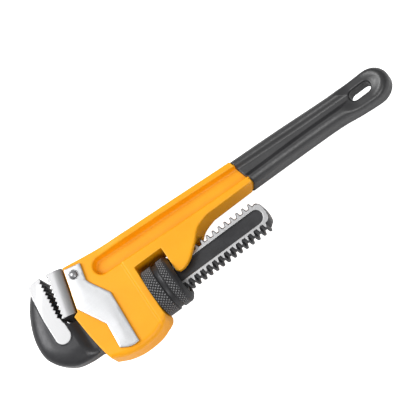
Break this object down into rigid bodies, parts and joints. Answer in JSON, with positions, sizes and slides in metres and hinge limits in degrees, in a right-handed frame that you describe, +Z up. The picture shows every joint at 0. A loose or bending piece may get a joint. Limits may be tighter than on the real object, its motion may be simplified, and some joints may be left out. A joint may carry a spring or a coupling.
{
  "type": "pipe wrench",
  "caption": "Straight pipe wrench with a hooked sliding jaw, knurled adjusting nut, fixed heel jaw and sleeved H-section handle.",
  "frame": {"origin": "centre of the underside of the whole tool as it lies on its side, jaws nearly closed", "axes": "+X from the jaws to the end of the handle, parallel to the threaded shank; +Y across the tool from the hook's shank towards the back of the handle; +Z up, through the thickness"},
  "size_m": [0.3079, 0.0867, 0.0365],
  "materials": {
    "casting_paint": "smooth orange enamel over sand-cast iron",
    "sleeve_vinyl": "satin black dipped vinyl",
    "black_forging": "black-oxided forging with ground side flats",
    "black_nut": "black-oxided, diamond knurled",
    "ground_steel": "ground bright on the sides, black on the rest",
    "bright_pin": "bright domed head",
    "plate_steel": "fine satin",
    "spring_steel": "blue-grey spring temper"
  },
  "bodies": {
    "handle": {"handle_casting": "casting_paint", "handle_grip": "sleeve_vinyl", "heel_jaw": "ground_steel", "heel_jaw_pin": "bright_pin", "side_plate_front": "plate_steel", "side_plate_back": "plate_steel"},
    "spring_set": {"flat_spring": "spring_steel", "coil_spring": "spring_steel"},
    "hook": {"hook_jaw": "black_forging"},
    "nut": {"adjusting_nut": "black_nut"}
  },
  "joints": [
    {"name": "jaw_rock", "type": "hinge", "parent": "handle", "child": "spring_set", "pos_m": [-0.054, -0.01485, 0.01825], "axis": [0, 0, 1], "range_deg": [-1.5, 0], "stiffness_Nm_per_rad": 15, "springref_deg": 1.15},
    {"name": "jaw_slide", "type": "slide", "parent": "spring_set", "child": "hook", "axis": [-1, 0, 0], "range_m": [0, 0.044]},
    {"name": "nut_spin", "type": "hinge", "parent": "spring_set", "child": "nut", "pos_m": [-0.054, -0.01485, 0.01825], "axis": [1, 0, 0], "range_deg": [-10, 3130]}
  ],
  "couplings": [
    {"joint": "nut_spin", "follows": "jaw_slide", "rad_per_m": 1236.8}
  ]
}
